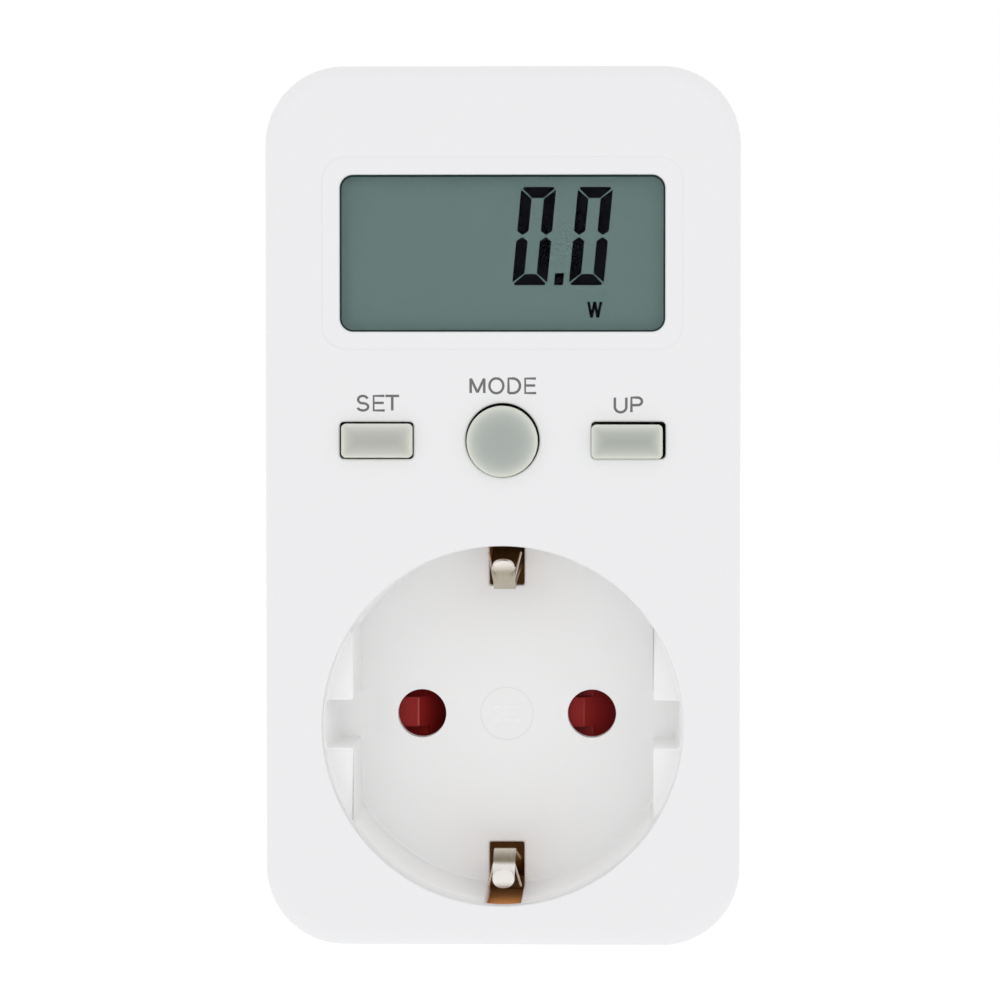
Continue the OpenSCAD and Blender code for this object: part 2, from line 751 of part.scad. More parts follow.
module line_in_lead() { color("saddlebrown") tube(smooth(lead_in_path, 2), lead_r); }
module line_out_lead() { color("saddlebrown") tube(smooth(lead_out_path, 2), lead_r); }
module neutral_in_lead() { color("royalblue") mirror([1, 0, 0]) tube(smooth(lead_in_path, 2), lead_r); }
module neutral_out_lead() { color("royalblue") mirror([1, 0, 0]) tube(smooth(lead_out_path, 2), lead_r); }

// ---- Fasteners ----

module housing_screws() {
    color("silver") at(housing_posts) screw(housing_head_y, housing_head_y - 15, 1.45, 2.7, 2);
}
module display_screws() {
    color("silver") at(display_posts) screw(display_board_y + board_t, inner_front_y + 1, 0.9, 1.9, 1.3);
}
module insert_screws() {
    color("silver") at(insert_posts) screw(ear_y + ear_t, inner_front_y + 0.8, 0.9, 1.9, 1.3);
}
module carrier_screws() {
    color("silver") at(carrier_posts) screw(carrier_front_y + 2, floor_back_y + 0.8, 0.9, 1.9, 1.3);
}
module main_board_screws() {
    color("silver") translate([0, main_board_y, 0]) mirror([0, 1, 0]) translate([0, -main_board_y, 0])
        at(main_posts) screw(main_board_y, main_board_y - 5.6, 0.9, 1.9, 1.3);
}
module holder_screw() {
    color("silver") translate([0, -7, 0]) mirror([0, 1, 0]) translate([0, 7, 0]) screw(-7, -12.6, 1.2, 2.3, 1.5);
}

front_cover();
rear_cover();
socket_insert();
lcd_window();
lcd_glass();
lcd_holder();
zebra_strip();
foam_strip();
display_board();
controller_chip();
quartz_crystal();
board_link();
keypad_mat();
set_key();
mode_key();
up_key();
set_pill();
mode_pill();
up_pill();
set_web();
mode_web();
up_web();
shutter();
shutter_spring();
contact_carrier();
line_contact();
neutral_contact();
earth_bracket();
earth_clip_top();
earth_clip_bottom();
line_pin();
neutral_pin();
pin_holder();
plug_earth_top();
plug_earth_bottom();
main_board();
x2_capacitor();
smoothing_capacitor();
varistor();
fuse_resistor();
backup_battery();
meter_chip();
shunt();
rectifier_diodes();
line_in_lead();
line_out_lead();
neutral_in_lead();
neutral_out_lead();
rating_label();
housing_screws();
display_screws();
insert_screws();
carrier_screws();
main_board_screws();
holder_screw();
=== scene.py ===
import json
from math import cos, hypot, pi, radians, sin

import bmesh
import bpy
from mathutils import Matrix, Vector


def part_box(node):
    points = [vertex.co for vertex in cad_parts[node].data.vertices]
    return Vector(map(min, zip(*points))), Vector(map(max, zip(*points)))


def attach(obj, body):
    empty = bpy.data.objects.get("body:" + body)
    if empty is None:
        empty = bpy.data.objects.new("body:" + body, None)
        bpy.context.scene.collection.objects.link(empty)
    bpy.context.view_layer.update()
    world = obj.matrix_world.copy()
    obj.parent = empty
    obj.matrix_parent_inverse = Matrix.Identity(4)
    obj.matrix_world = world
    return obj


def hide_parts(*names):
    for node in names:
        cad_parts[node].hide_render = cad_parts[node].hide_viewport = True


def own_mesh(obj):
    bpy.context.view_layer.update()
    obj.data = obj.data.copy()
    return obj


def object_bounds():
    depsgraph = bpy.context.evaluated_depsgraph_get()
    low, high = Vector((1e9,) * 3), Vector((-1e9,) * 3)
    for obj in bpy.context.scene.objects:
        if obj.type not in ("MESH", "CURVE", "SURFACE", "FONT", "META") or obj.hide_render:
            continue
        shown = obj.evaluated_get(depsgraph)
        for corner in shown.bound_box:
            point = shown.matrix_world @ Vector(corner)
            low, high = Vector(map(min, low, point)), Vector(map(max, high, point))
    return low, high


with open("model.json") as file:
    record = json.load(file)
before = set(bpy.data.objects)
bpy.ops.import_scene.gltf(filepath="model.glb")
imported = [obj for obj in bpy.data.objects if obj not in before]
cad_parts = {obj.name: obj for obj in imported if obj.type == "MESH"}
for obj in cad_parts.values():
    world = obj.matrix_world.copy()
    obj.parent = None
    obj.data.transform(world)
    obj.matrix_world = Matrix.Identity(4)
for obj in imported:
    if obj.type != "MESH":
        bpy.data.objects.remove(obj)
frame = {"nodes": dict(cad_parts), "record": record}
cadLow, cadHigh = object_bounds()
mm = 0.001
print("frame loaded")

# The planes that the pieces are placed by, read from the frame
coverLow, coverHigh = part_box("front_cover")
frontY = coverLow.y
splitY = coverHigh.y
coverWidth = coverHigh.x - coverLow.x
coverHeight = coverHigh.z - coverLow.z
coverMidZ = (coverHigh.z + coverLow.z) / 2


def boxMid(node):
    low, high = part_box(node)
    return (low + high) / 2


# Finishes

noiseDetail = 3.0


def principled(name, colour, roughness, metallic=0.0):
    material = bpy.data.materials.new(name)
    material.use_nodes = True
    shader = material.node_tree.nodes["Principled BSDF"]
    shader.inputs["Base Color"].default_value = (*colour, 1.0)
    shader.inputs["Roughness"].default_value = roughness
    shader.inputs["Metallic"].default_value = metallic
    material.diffuse_color = (*colour, 1.0)
    return material, shader


def noiseNode(tree, size, stretch=(1, 1, 1), detail=noiseDetail):
    # size is the width of one speckle, in metres
    place = tree.nodes.new("ShaderNodeTexCoord")
    mapping = tree.nodes.new("ShaderNodeMapping")
    mapping.inputs["Scale"].default_value = stretch
    noise = tree.nodes.new("ShaderNodeTexNoise")
    noise.inputs["Scale"].default_value = 1 / size
    noise.inputs["Detail"].default_value = detail
    tree.links.new(place.outputs["Object"], mapping.inputs["Vector"])
    tree.links.new(mapping.outputs["Vector"], noise.inputs["Vector"])
    return noise


def addBump(tree, shader, height, strength, depth):
    bump = tree.nodes.new("ShaderNodeBump")
    bump.inputs["Strength"].default_value = strength
    bump.inputs["Distance"].default_value = depth
    tree.links.new(height, bump.inputs["Height"])
    tree.links.new(bump.outputs["Normal"], shader.inputs["Normal"])


def spread(tree, source, low, high, fromLow=0.3, fromHigh=0.7):
    # turns a 0 to 1 pattern into a number between low and high
    span = tree.nodes.new("ShaderNodeMapRange")
    span.inputs["From Min"].default_value = fromLow
    span.inputs["From Max"].default_value = fromHigh
    span.inputs["To Min"].default_value = low
    span.inputs["To Max"].default_value = high
    tree.links.new(source, span.inputs["Value"])
    return span.outputs["Result"]


def blendColours(tree, factor, first, second, target):
    mix = tree.nodes.new("ShaderNodeMix")
    mix.data_type = "RGBA"
    mix.inputs["A"].default_value = (*first, 1.0)
    mix.inputs["B"].default_value = (*second, 1.0)
    tree.links.new(factor, mix.inputs["Factor"])
    tree.links.new(mix.outputs["Result"], target)
    return mix


def shade(colour, amount):
    return tuple(max(0.0, min(1.0, c * amount)) for c in colour)


plastic = {"cloud": 9 * mm, "smoothest": 0.85, "roughest": 1.2, "bump": 0.35}


def mouldedPlastic(name, colour, roughness=0.35, grain=0.25 * mm, grainDepth=0.004 * mm, mottle=0.02,
                   specular=0.5):
    material, shader = principled(name, colour, roughness)
    tree = material.node_tree
    cloud = noiseNode(tree, plastic["cloud"])
    blendColours(tree, cloud.outputs["Fac"], shade(colour, 1 - mottle), shade(colour, 1 + mottle),
                 shader.inputs["Base Color"])
    fine = noiseNode(tree, grain)
    varied = spread(tree, fine.outputs["Fac"], roughness * plastic["smoothest"],
                    roughness * plastic["roughest"])
    tree.links.new(varied, shader.inputs["Roughness"])
    addBump(tree, shader, fine.outputs["Fac"], plastic["bump"], grainDepth)
    shader.inputs["Specular IOR Level"].default_value = specular
    return material


metal = {"cloud": 3 * mm, "line": 0.3 * mm, "smoothest": 0.7, "roughest": 1.4, "stain": 0.75,
         "lineDepth": 0.004 * mm}


def platedMetal(name, colour, roughness=0.25, brush=(1, 1, 1), stain=None, stainAmount=0.3, metallic=1.0,
                relief=0.2):
    material, shader = principled(name, colour, roughness, metallic)
    tree = material.node_tree
    cloud = noiseNode(tree, metal["cloud"])
    blendColours(tree, spread(tree, cloud.outputs["Fac"], 0, stainAmount), colour,
                 stain or shade(colour, metal["stain"]), shader.inputs["Base Color"])
    lines = noiseNode(tree, metal["line"], brush)
    varied = spread(tree, lines.outputs["Fac"], roughness * metal["smoothest"],
                    roughness * metal["roughest"])
    tree.links.new(varied, shader.inputs["Roughness"])
    if relief:
        addBump(tree, shader, lines.outputs["Fac"], relief, metal["lineDepth"])
    return material


rubber = {"cloud": 4 * mm, "speckle": 0.3 * mm, "smoothest": 0.9, "roughest": 1.15, "darkest": 0.96,
          "lightest": 1.04, "bump": 0.2, "bumpDepth": 0.005 * mm, "glowRadius": (1.0, 0.9, 0.8),
          "glowScale": 0.6 * mm}


def softRubber(name, colour, roughness=0.6, glow=0.0):
    material, shader = principled(name, colour, roughness)
    tree = material.node_tree
    fine = noiseNode(tree, rubber["speckle"])
    varied = spread(tree, fine.outputs["Fac"], roughness * rubber["smoothest"],
                    min(1, roughness * rubber["roughest"]))
    tree.links.new(varied, shader.inputs["Roughness"])
    blendColours(tree, noiseNode(tree, rubber["cloud"]).outputs["Fac"], shade(colour, rubber["darkest"]),
                 shade(colour, rubber["lightest"]), shader.inputs["Base Color"])
    addBump(tree, shader, fine.outputs["Fac"], rubber["bump"], rubber["bumpDepth"])
    if glow:
        shader.inputs["Subsurface Weight"].default_value = glow
        shader.inputs["Subsurface Radius"].default_value = rubber["glowRadius"]
        shader.inputs["Subsurface Scale"].default_value = rubber["glowScale"]
    return material


laminate = {"pitch": 3.5 * mm, "trackFrom": 0.55, "trackTo": 0.62, "bump": 0.3, "trackDepth": 0.03 * mm}


def circuitLaminate(name, board, track, roughness=0.4):
    # solder mask over a net of tracks
    material, shader = principled(name, board, roughness)
    tree = material.node_tree
    place = tree.nodes.new("ShaderNodeTexCoord")
    cells = tree.nodes.new("ShaderNodeTexVoronoi")
    cells.distance = "MANHATTAN"
    cells.feature = "F2"
    cells.inputs["Scale"].default_value = 1 / laminate["pitch"]
    tree.links.new(place.outputs["Object"], cells.inputs["Vector"])
    lines = spread(tree, cells.outputs["Distance"], 0, 1, laminate["trackFrom"], laminate["trackTo"])
    blendColours(tree, lines, board, track, shader.inputs["Base Color"])
    addBump(tree, shader, lines, laminate["bump"], laminate["trackDepth"])
    return material


def tintByDepth(material, tones, start, depth):
    # base colour that changes with the distance behind start; tones are (share of the depth, colour)
    tree = material.node_tree
    where = tree.nodes.new("ShaderNodeTexCoord")
    axes = tree.nodes.new("ShaderNodeSeparateXYZ")
    tree.links.new(where.outputs["Object"], axes.inputs["Vector"])
    ramp = tree.nodes.new("ShaderNodeValToRGB")
    while len(ramp.color_ramp.elements) < len(tones):
        ramp.color_ramp.elements.new(0.5)
    for stop, (share, tone) in zip(ramp.color_ramp.elements, tones):
        stop.position = share
        stop.color = (*tone, 1.0)
    tree.links.new(spread(tree, axes.outputs["Y"], 0, 1, start, start + depth), ramp.inputs["Fac"])
    tree.links.new(ramp.outputs["Color"], tree.nodes["Principled BSDF"].inputs["Base Color"])
    return material


# where the guide notches lie at the sides of the recess
notch = {"start": 14.5 * mm, "blend": 3 * mm, "halfHeight": 2.6 * mm, "edge": 0.2 * mm}


def paintNotchLight(material):
    # painted light: blends the base colour into white past the notches' start on both sides, within their
    # height, where the notches lie in shade
    tree = material.node_tree
    where = tree.nodes.new("ShaderNodeTexCoord")
    axes = tree.nodes.new("ShaderNodeSeparateXYZ")
    tree.links.new(where.outputs["Object"], axes.inputs["Vector"])
    side = spread(tree, mathNode(tree, "ABSOLUTE", axes.outputs["X"]), 0, 1, notch["start"],
                  notch["start"] + notch["blend"])
    level = spread(tree, mathNode(tree, "ABSOLUTE", axes.outputs["Z"]), 1, 0, notch["halfHeight"],
                   notch["halfHeight"] + notch["edge"])
    target = tree.nodes["Principled BSDF"].inputs["Base Color"]
    before = target.links[0].from_socket
    mix = blendColours(tree, mathNode(tree, "MULTIPLY", side, level), (0, 0, 0), (1, 1, 1), target)
    tree.links.new(before, mix.inputs["A"])


clear = {"roughness": 0.03, "refraction": 1.1, "wave": 6 * mm, "bump": 0.05, "waveDepth": 0.01 * mm}


def clearWindow(name, tint):
    material, shader = principled(name, tint, clear["roughness"])
    shader.inputs["Transmission Weight"].default_value = 1.0
    shader.inputs["IOR"].default_value = clear["refraction"]
    tree = material.node_tree
    waves = noiseNode(tree, clear["wave"])
    addBump(tree, shader, waves.outputs["Fac"], clear["bump"], clear["waveDepth"])
    return material


def mathNode(tree, operation, first, second=None):
    step = tree.nodes.new("ShaderNodeMath")
    step.operation = operation
    for socket, value in zip(step.inputs, (first, second)):
        if value is None:
            continue
        if isinstance(value, (int, float)):
            socket.default_value = value
        else:
            tree.links.new(value, socket)
    return step.outputs["Value"]


silicone = {"roughness": 0.5, "smoothest": 0.42, "roughest": 0.58, "speckle": 0.25 * mm, "bump": 0.25,
            "bumpDepth": 0.004 * mm, "cornerBlend": 0.5 * mm, "glow": 0.25, "glowRadius": (1.0, 1.0, 0.9),
            "glowScale": 0.5 * mm}


def keySilicone(name, middle, rim, centre, halfWidth, halfHeight, paleBand, isRound=False):
    # painted light: pale where light enters the edge, greyer towards the middle of the key
    material, shader = principled(name, middle, silicone["roughness"])
    tree = material.node_tree
    where = tree.nodes.new("ShaderNodeTexCoord")
    centred = tree.nodes.new("ShaderNodeMapping")
    centred.inputs["Location"].default_value = (-centre.x, 0, -centre.z)
    axes = tree.nodes.new("ShaderNodeSeparateXYZ")
    tree.links.new(where.outputs["Object"], centred.inputs["Vector"])
    tree.links.new(centred.outputs["Vector"], axes.inputs["Vector"])
    if isRound:
        square = [mathNode(tree, "MULTIPLY", axes.outputs[i], axes.outputs[i]) for i in ("X", "Z")]
        distance = mathNode(tree, "SQRT", mathNode(tree, "ADD", *square))
        inside = mathNode(tree, "SUBTRACT", halfWidth, distance)
    else:
        across = mathNode(tree, "SUBTRACT", halfWidth, mathNode(tree, "ABSOLUTE", axes.outputs["X"]))
        upward = mathNode(tree, "SUBTRACT", halfHeight, mathNode(tree, "ABSOLUTE", axes.outputs["Z"]))
        inside = mathNode(tree, "SMOOTH_MIN", across, upward)
        inside.node.inputs[2].default_value = silicone["cornerBlend"]
    pale = mathNode(tree, "EXPONENT", mathNode(tree, "DIVIDE", inside, -paleBand))
    blendColours(tree, pale, middle, rim, shader.inputs["Base Color"])
    fine = noiseNode(tree, silicone["speckle"])
    varied = spread(tree, fine.outputs["Fac"], silicone["smoothest"], silicone["roughest"])
    tree.links.new(varied, shader.inputs["Roughness"])
    addBump(tree, shader, fine.outputs["Fac"], silicone["bump"], silicone["bumpDepth"])
    shader.inputs["Subsurface Weight"].default_value = silicone["glow"]
    shader.inputs["Subsurface Radius"].default_value = silicone["glowRadius"]
    shader.inputs["Subsurface Scale"].default_value = silicone["glowScale"]
    return material


def addPaintedGlow(material, colour):
    # painted light: a faint even glow of the given colour, though the part is no lamp
    shader = material.node_tree.nodes["Principled BSDF"]
    shader.inputs["Emission Color"].default_value = (*colour, 1.0)
    shader.inputs["Emission Strength"].default_value = 1.0


recessDepth = 17.5 * mm
white = {"colour": (0.8, 0.8, 0.812), "recess": (0.9, 0.9, 0.9)}
# painted light and shade: the recess's base colour by depth, darker near the mouth, lighter further in where
# the recess lies in shade, a little darker at the floor
recessLightAndShade = [(0.0, 0.86), (0.17, 0.88), (0.24, 0.97), (0.95, 0.97), (0.985, 0.93)]
# painted light: the display and the bare copper glow faintly, lifting the display's shaded edges and the
# copper in its slots
paintedGlowColours = {"display": (0.038, 0.06, 0.057), "copper": (0.03, 0.014, 0.005)}
copperSheen = {"roughness": 0.5, "tint": (1.0, 0.5, 0.2, 1.0)}
# painted shade: the bare copper darker near the front lip, full colour deeper in
copperShadeByDepth = [(0.0, (0.58, 0.21, 0.05)), (0.2, (0.7, 0.27, 0.06)), (0.5, (1.0, 0.42, 0.11))]
finishes = {
    "cover": mouldedPlastic("whiteCover", white["colour"], 0.38, mottle=0.004),
    "recess": tintByDepth(mouldedPlastic("recessPlastic", white["recess"], 0.42),
                          [(share, (tone, tone, tone)) for share, tone in recessLightAndShade], frontY, recessDepth),
    "window": clearWindow("clearPlastic", (0.98, 1.0, 0.99)),
    "display": mouldedPlastic("displayReflector", (0.085, 0.134, 0.127), 0.55, 0.12 * mm, 0.001 * mm, 0.02),
    "holder": mouldedPlastic("frameWhite", (0.6, 0.6, 0.6), 0.5),
    "zebra": softRubber("zebraPink", (0.55, 0.3, 0.33)),
    "foam": softRubber("darkFoam", (0.03, 0.03, 0.035), 0.9),
    "circuit_board": circuitLaminate("greenBoard", (0.02, 0.13, 0.05), (0.05, 0.24, 0.1)),
    "power_board": circuitLaminate("paperBoard", (0.33, 0.22, 0.09), (0.45, 0.3, 0.12), 0.55),
    "chip": mouldedPlastic("blackEpoxy", (0.012, 0.012, 0.013), 0.45, 0.15 * mm),
    "plated_metal": platedMetal("tinCan", (0.7, 0.7, 0.7), 0.2),
    "ribbon": mouldedPlastic("greyRibbon", (0.45, 0.45, 0.45), 0.5),
    "keypad": softRubber("matSilicone", (0.4, 0.42, 0.39), 0.6, 0.3),
    "key": softRubber("keySilicone", (0.44, 0.46, 0.42), 0.5, 0.3),
    "carbon": softRubber("carbonRubber", (0.015, 0.015, 0.015), 0.8),
    "shutter": mouldedPlastic("redShutter", (0.315, 0.017, 0.016), 0.45, 0.3 * mm, mottle=0.05,
                              specular=0.15),
    "spring_steel": platedMetal("springWire", (0.6, 0.6, 0.6), 0.2),
    "carrier": mouldedPlastic("greyCarrier", (0.12, 0.12, 0.125), 0.5),
    "contact_brass": platedMetal("contactBrass", (0.75, 0.52, 0.22), 0.25),
    "copper": platedMetal("bareCopper", (1.0, 0.42, 0.11), 0.5, (1, 0.15, 1), (0.95, 0.33, 0.07), 0.8, 0.0),
    "clip_metal": platedMetal("clipNickel", (0.86, 0.83, 0.77), 0.34, (1, 0.1, 0.1), (0.78, 0.75, 0.68), 0.4),
    "pin_metal": platedMetal("pinNickel", (0.8, 0.79, 0.76), 0.2, (0.3, 3, 0.3)),
    "capacitor_box": mouldedPlastic("yellowBox", (0.75, 0.45, 0.03), 0.4),
    "capacitor_sleeve": mouldedPlastic("darkSleeve", (0.015, 0.02, 0.08), 0.3),
    "varistor_lacquer": mouldedPlastic("blueLacquer", (0.02, 0.1, 0.35), 0.3),
    "resistor_lacquer": mouldedPlastic("greenLacquer", (0.2, 0.4, 0.25), 0.45),
    "battery_sleeve": mouldedPlastic("greenSleeve", (0.05, 0.3, 0.08), 0.35),
    "shunt_alloy": platedMetal("shuntAlloy", (0.5, 0.38, 0.28), 0.35),
    "brown_wire": mouldedPlastic("brownSleeve", (0.14, 0.05, 0.02), 0.45),
    "blue_wire": mouldedPlastic("blueSleeve", (0.02, 0.1, 0.4), 0.45),
    "label": mouldedPlastic("silverLabel", (0.6, 0.61, 0.62), 0.42, 0.15 * mm, 0.002 * mm, mottle=0.01),
    "screw_steel": platedMetal("zincSteel", (0.6, 0.6, 0.62), 0.3),
}
for entry in frame["record"]["subparts"]:
    node = frame["nodes"][entry["node"]]
    node.data.materials.clear()
    node.data.materials.append(finishes[entry["material_slot"]])
# painted shade on the copper by depth, painted light in the recess's notches, and a painted glow on the
# display and the copper
tintByDepth(finishes["copper"], copperShadeByDepth, frontY, recessDepth)
paintNotchLight(finishes["recess"])
for finish, colour in paintedGlowColours.items():
    addPaintedGlow(finishes[finish], colour)
copperShader = finishes["copper"].node_tree.nodes["Principled BSDF"]
copperShader.inputs["Sheen Weight"].default_value = 1.0
copperShader.inputs["Sheen Roughness"].default_value = copperSheen["roughness"]
copperShader.inputs["Sheen Tint"].default_value = copperSheen["tint"]
print("finishes made")


# Mesh tools

weld = {"made": 0.0005 * mm, "cut": 0.001 * mm, "yielding": 0.001 * mm, "cad": 0.002 * mm}
flatWithin = {"cut": radians(0.3), "cad": radians(0.4)}
parallel = 0.99
sameDepth = 0.001 * mm
through = 1 * mm    # how far a cutting tool runs past what it cuts


def finishMesh(bm, name, material, sharpAngle=35, tidy=True):
    if tidy:
        bmesh.ops.remove_doubles(bm, verts=bm.verts, dist=weld["made"])
        bmesh.ops.recalc_face_normals(bm, faces=bm.faces)
    mesh = bpy.data.meshes.new(name)
    bm.to_mesh(mesh)
    bm.free()
    mesh.shade_smooth()
    mesh.set_sharp_from_angle(angle=radians(sharpAngle))
    piece = bpy.data.objects.new(name, mesh)
    bpy.context.scene.collection.objects.link(piece)
    mesh.materials.append(material)
    return piece


def place(piece, body, slotName, *nodes):
    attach(piece, body)
    if nodes:
        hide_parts(*nodes)
    return piece


def evenNormals(piece):
    # keeps flat faces flat beside rounded edges
    modifier = piece.modifiers.new("evenNormals", "WEIGHTED_NORMAL")
    modifier.keep_sharp = True
    modifier.weight = 80


def edgesAlongY(bm):
    return [e for e in bm.edges if abs((e.verts[0].co - e.verts[1].co).normalized().y) > parallel]


def edgesAtDepth(bm, y):
    return [e for e in bm.edges if all(abs(v.co.y - y) < sameDepth for v in e.verts)]


def bevelEdges(bm, edges, offset, segments, clamp=True):
    bmesh.ops.bevel(bm, geom=edges, offset=offset, segments=segments, profile=0.5, affect="EDGES",
                    material=-1, clamp_overlap=clamp)


def roundedBlock(width, height, radius, front, back, midX=0.0, midZ=0.0, cornerSegments=12):
    # an upright block with round corners, from depth front to depth back
    bm = bmesh.new()
    bmesh.ops.create_cube(bm, size=1)
    bmesh.ops.scale(bm, vec=(width, back - front, height), verts=bm.verts)
    bmesh.ops.translate(bm, vec=(midX, (front + back) / 2, midZ), verts=bm.verts)
    if radius:
        bevelEdges(bm, edgesAlongY(bm), radius, cornerSegments)
    return bm


def roundBar(radius, front, back, midX=0.0, midZ=0.0, segments=96):
    # a round bar along Y
    bm = bmesh.new()
    bmesh.ops.create_cone(bm, cap_ends=True, segments=segments, radius1=radius, radius2=radius,
                          depth=back - front)
    bmesh.ops.rotate(bm, cent=(0, 0, 0), matrix=Matrix.Rotation(pi / 2, 3, "X"), verts=bm.verts)
    bmesh.ops.translate(bm, vec=(midX, (front + back) / 2, midZ), verts=bm.verts)
    return bm


def asTool(bm, name):
    mesh = bpy.data.meshes.new(name)
    bmesh.ops.recalc_face_normals(bm, faces=bm.faces)
    bm.to_mesh(mesh)
    bm.free()
    tool = bpy.data.objects.new(name, mesh)
    bpy.context.scene.collection.objects.link(tool)
    return tool


def combine(base, steps):
    # applies each (operation, bmesh) to base in turn and returns the result as a bmesh
    body = asTool(base, "stock")
    tools = []
    for operation, shape in steps:
        tool = asTool(shape, "tool")
        modifier = body.modifiers.new(operation, "BOOLEAN")
        modifier.operation = operation
        modifier.solver = "EXACT"
        modifier.object = tool
        tools.append(tool)
    bpy.context.view_layer.update()
    result = bmesh.new()
    result.from_object(body, bpy.context.evaluated_depsgraph_get())
    for used in [body, *tools]:
        mesh = used.data
        bpy.data.objects.remove(used)
        bpy.data.meshes.remove(mesh)
    bmesh.ops.remove_doubles(result, verts=result.verts, dist=weld["cut"])
    bmesh.ops.dissolve_limit(result, angle_limit=flatWithin["cut"], verts=result.verts, edges=result.edges)
    return result


# Front cover

cover = {
    "cornerRadius": 8.5 * mm,
    "cornerSegments": 24,
    "edgeRadius": 2 * mm,
    "edgeSegments": 8,
    "wall": 2 * mm,
    "rimRadius": 0.22 * mm,
    "partingChamfer": 0.25 * mm,
    "recessRadius": 19.5 * mm,
    "recessSegments": 160,
    "keyHoleSegments": 6,
    "sharpest": radians(60),     # rims and the parting line turn by more than this
    "dishWidth": 39 * mm,
    "dishHeight": 20.8 * mm,
    "dishDepth": 0.06 * mm,
    "dishRadius": 2.6 * mm,
    "windowMargin": 0.5 * mm,    # the window's own rim lies within this
    "dishMargin": 0.1 * mm,
}
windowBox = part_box("lcd_window")
windowMid = boxMid("lcd_window")
windowSize = {"width": 35.1 * mm, "height": 16.9 * mm, "radius": 1.45 * mm}
keyHoles = {
    "set_key": {"x": -13.57 * mm, "z": 30.92 * mm, "width": 8 * mm, "height": 4 * mm, "radius": 0.45 * mm},
    "mode_key": {"x": 0.02 * mm, "z": 30.96 * mm, "width": 8 * mm, "height": 8 * mm, "radius": 4 * mm},
    "up_key": {"x": 13.61 * mm, "z": 30.95 * mm, "width": 8 * mm, "height": 4 * mm, "radius": 0.45 * mm},
}


def coverStock(front, back):
    # outer block of the cover, rounded along its front edge
    bm = roundedBlock(coverWidth, coverHeight, cover["cornerRadius"], front, back, 0, coverMidZ,
                      cover["cornerSegments"])
    bevelEdges(bm, edgesAtDepth(bm, front), cover["edgeRadius"], cover["edgeSegments"])
    return bm


def within(middle, width, height, margin):
    return abs(middle.x) <= width / 2 + margin and abs(middle.z) <= height / 2 + margin


def isDishEdge(edge):
    # the dish's outline stays sharp, as it is too shallow to round
    middle = (edge.verts[0].co + edge.verts[1].co) / 2 - windowMid
    inDish = within(middle, cover["dishWidth"], cover["dishHeight"], cover["dishMargin"])
    return inDish and not within(middle, windowSize["width"], windowSize["height"], cover["windowMargin"])


def makeFrontCover():
    front, back = frontY, splitY
    inner = cover["wall"]
    steps = [
        ("DIFFERENCE", roundedBlock(cover["dishWidth"], cover["dishHeight"], cover["dishRadius"],
                                    front - through, front + cover["dishDepth"], windowMid.x, windowMid.z)),
        ("DIFFERENCE", roundedBlock(coverWidth - 2 * inner, coverHeight - 2 * inner,
                                    cover["cornerRadius"] - inner, front + inner, back + through, 0,
                                    coverMidZ)),
        ("DIFFERENCE", roundBar(cover["recessRadius"], front - through, front + inner + through,
                                segments=cover["recessSegments"])),
        ("DIFFERENCE", roundedBlock(windowSize["width"], windowSize["height"], windowSize["radius"],
                                    front - through, front + inner + through, windowMid.x, windowMid.z)),
    ]
    for hole in keyHoles.values():
        if hole["radius"] * 2 >= hole["width"]:
            tool = roundBar(hole["radius"], front - through, front + inner + through, hole["x"], hole["z"])
        else:
            tool = roundedBlock(hole["width"], hole["height"], hole["radius"], front - through,
                                front + inner + through, hole["x"], hole["z"], cover["keyHoleSegments"])
        steps.append(("DIFFERENCE", tool))
    bm = combine(coverStock(front, back), steps)
    rims = [e for e in edgesAtDepth(bm, front) + edgesAtDepth(bm, front + cover["dishDepth"])
            if e.calc_face_angle(0) > cover["sharpest"] and not isDishEdge(e)]
    bevelEdges(bm, rims, cover["rimRadius"], 3)
    parting = [e for e in edgesAtDepth(bm, back) if e.calc_face_angle(0) > cover["sharpest"]]
    bevelEdges(bm, parting, cover["partingChamfer"], 2)
    piece = finishMesh(bm, "frontCover", finishes["cover"])
    evenNormals(piece)
    return place(piece, "housing", "cover", "front_cover")


makeFrontCover()
print("front cover made")


# Pieces that keep their CAD shape, with their sharp edges rounded

def softened(node, name, bevels, smoothest=35, finish=None):
    # bevels are (radius, segments, widest angle left alone, test of an edge's middle and direction)
    bm = bmesh.new()
    bm.from_mesh(frame["nodes"][node].data)
    bmesh.ops.remove_doubles(bm, verts=bm.verts, dist=weld["cad"])
    bmesh.ops.dissolve_limit(bm, angle_limit=flatWithin["cad"], verts=bm.verts, edges=bm.edges)
    for radius, segments, widest, test in bevels:
        edges = [e for e in bm.edges if len(e.link_faces) == 2 and e.calc_face_angle(0) > radians(widest)
                 and test((e.verts[0].co + e.verts[1].co) / 2, e.verts[1].co - e.verts[0].co)]
        bevelEdges(bm, edges, radius, segments, clamp=False)
    entry = next(s for s in frame["record"]["subparts"] if s["node"] == node)
    piece = finishMesh(bm, name, finish or finishes[entry["material_slot"]], smoothest, tidy=False)
    evenNormals(piece)
    body = next(b for b, members in frame["record"]["behaviour"]["bodies"].items() if node in members)
    return place(piece, body, entry["material_slot"], node)


markRadius = 3 * mm
apertureX = 9.5 * mm
apertureRadius = 2.7 * mm
ownRim = {"well": 1.15, "aperture": 1.1, "mark": 1.2}    # an edge within this many radii is the hole's own
shortestUpright = 1 * mm
screwWells = {"x": 20.5 * mm, "low": -19.2 * mm, "high": 65.8 * mm, "radius": 3 * mm}


def anyEdge(middle, direction):
    return True


def awayFromWells(middle, direction):
    # the wells run out into the cover's rounded edge, where a bevel would tear
    across = abs(middle.x) - screwWells["x"]
    reach = screwWells["radius"] * ownRim["well"]
    return all(hypot(across, middle.z - screwWells[end]) > reach for end in ("low", "high"))


